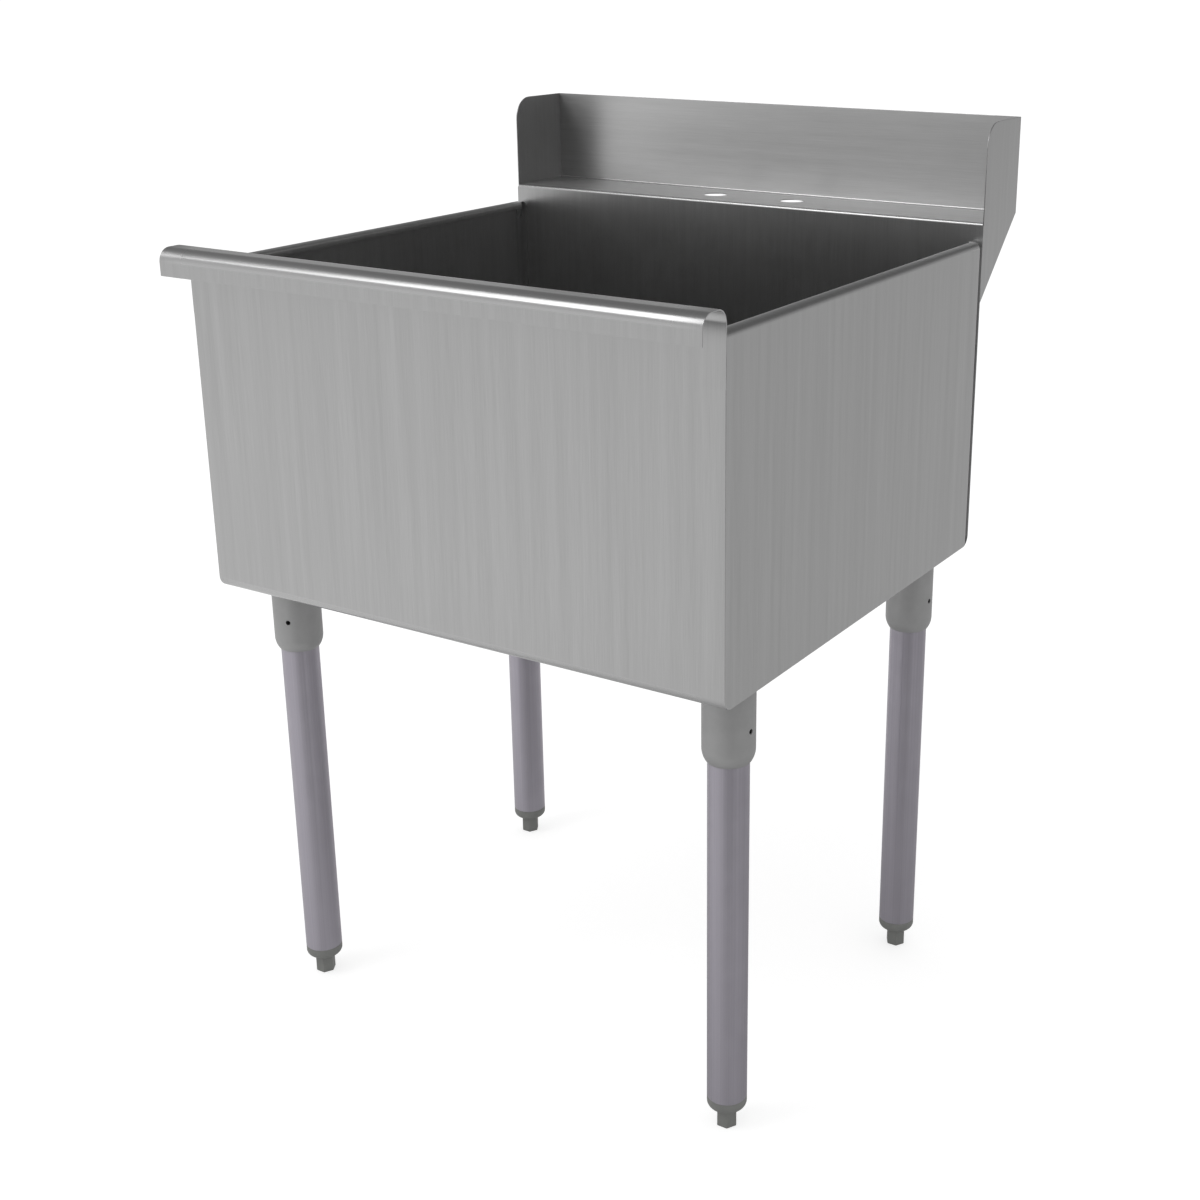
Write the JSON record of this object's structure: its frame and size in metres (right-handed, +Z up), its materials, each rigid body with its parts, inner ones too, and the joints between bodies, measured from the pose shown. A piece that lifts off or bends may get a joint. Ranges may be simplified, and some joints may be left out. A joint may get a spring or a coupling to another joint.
{
  "type": "utility laundry sink",
  "caption": "Free-standing laundry sink: deep folded stainless bowl with rolled front rim, faucet deck and backsplash, on tube legs with screw feet and a basket drain.",
  "frame": {"origin": "on the floor, under the middle of the sink's bounding box", "axes": "+X to the right seen from the front, +Y to the back (the wall), +Z up"},
  "size_m": [0.6096, 0.656, 0.941],
  "materials": {
    "stainless_sheet": "brushed, number 4 grain",
    "cast_socket": "matt grey casting",
    "plated_tube": "galvanised, smooth, faintly violet",
    "foot_polymer": "moulded, dark grey",
    "black_screw": "black oxide",
    "drain_stainless": "polished",
    "drain_rubber": "matt black",
    "drain_fibre": "pressed fibre",
    "drain_nut": "plated brass"
  },
  "bodies": {
    "sink": {"basin_wrapper": "stainless_sheet", "side_panel_left": "stainless_sheet", "side_panel_right": "stainless_sheet", "end_return_left": "stainless_sheet", "end_return_right": "stainless_sheet", "leg_socket_front_left": "cast_socket", "leg_tube_front_left": "plated_tube", "foot_insert_front_left": "foot_polymer", "leg_socket_front_right": "cast_socket", "leg_tube_front_right": "plated_tube", "foot_insert_front_right": "foot_polymer", "leg_socket_rear_left": "cast_socket", "leg_tube_rear_left": "plated_tube", "foot_insert_rear_left": "foot_polymer", "leg_socket_rear_right": "cast_socket", "leg_tube_rear_right": "plated_tube", "foot_insert_rear_right": "foot_polymer", "socket_set_screws": "black_screw", "strainer_body": "drain_stainless", "drain_gasket": "drain_rubber", "drain_friction_washer": "drain_fibre", "drain_locknut": "drain_nut"},
    "foot_front_left": {"adjustable_foot_front_left": "foot_polymer"},
    "foot_front_right": {"adjustable_foot_front_right": "foot_polymer"},
    "foot_rear_left": {"adjustable_foot_rear_left": "foot_polymer"},
    "foot_rear_right": {"adjustable_foot_rear_right": "foot_polymer"},
    "basket": {"strainer_basket": "drain_stainless", "basket_post": "drain_stainless", "basket_stopper_seal": "drain_rubber"}
  },
  "joints": [
    {"name": "level_front_left", "type": "slide", "parent": "sink", "child": "foot_front_left", "axis": [0, 0, -1], "range_m": [0, 0.025]},
    {"name": "level_front_right", "type": "slide", "parent": "sink", "child": "foot_front_right", "axis": [0, 0, -1], "range_m": [0, 0.025]},
    {"name": "level_rear_left", "type": "slide", "parent": "sink", "child": "foot_rear_left", "axis": [0, 0, -1], "range_m": [0, 0.025]},
    {"name": "level_rear_right", "type": "slide", "parent": "sink", "child": "foot_rear_right", "axis": [0, 0, -1], "range_m": [0, 0.025]},
    {"name": "basket_lift", "type": "slide", "parent": "sink", "child": "basket", "axis": [0, 0, 1], "range_m": [0, 0.12]}
  ]
}
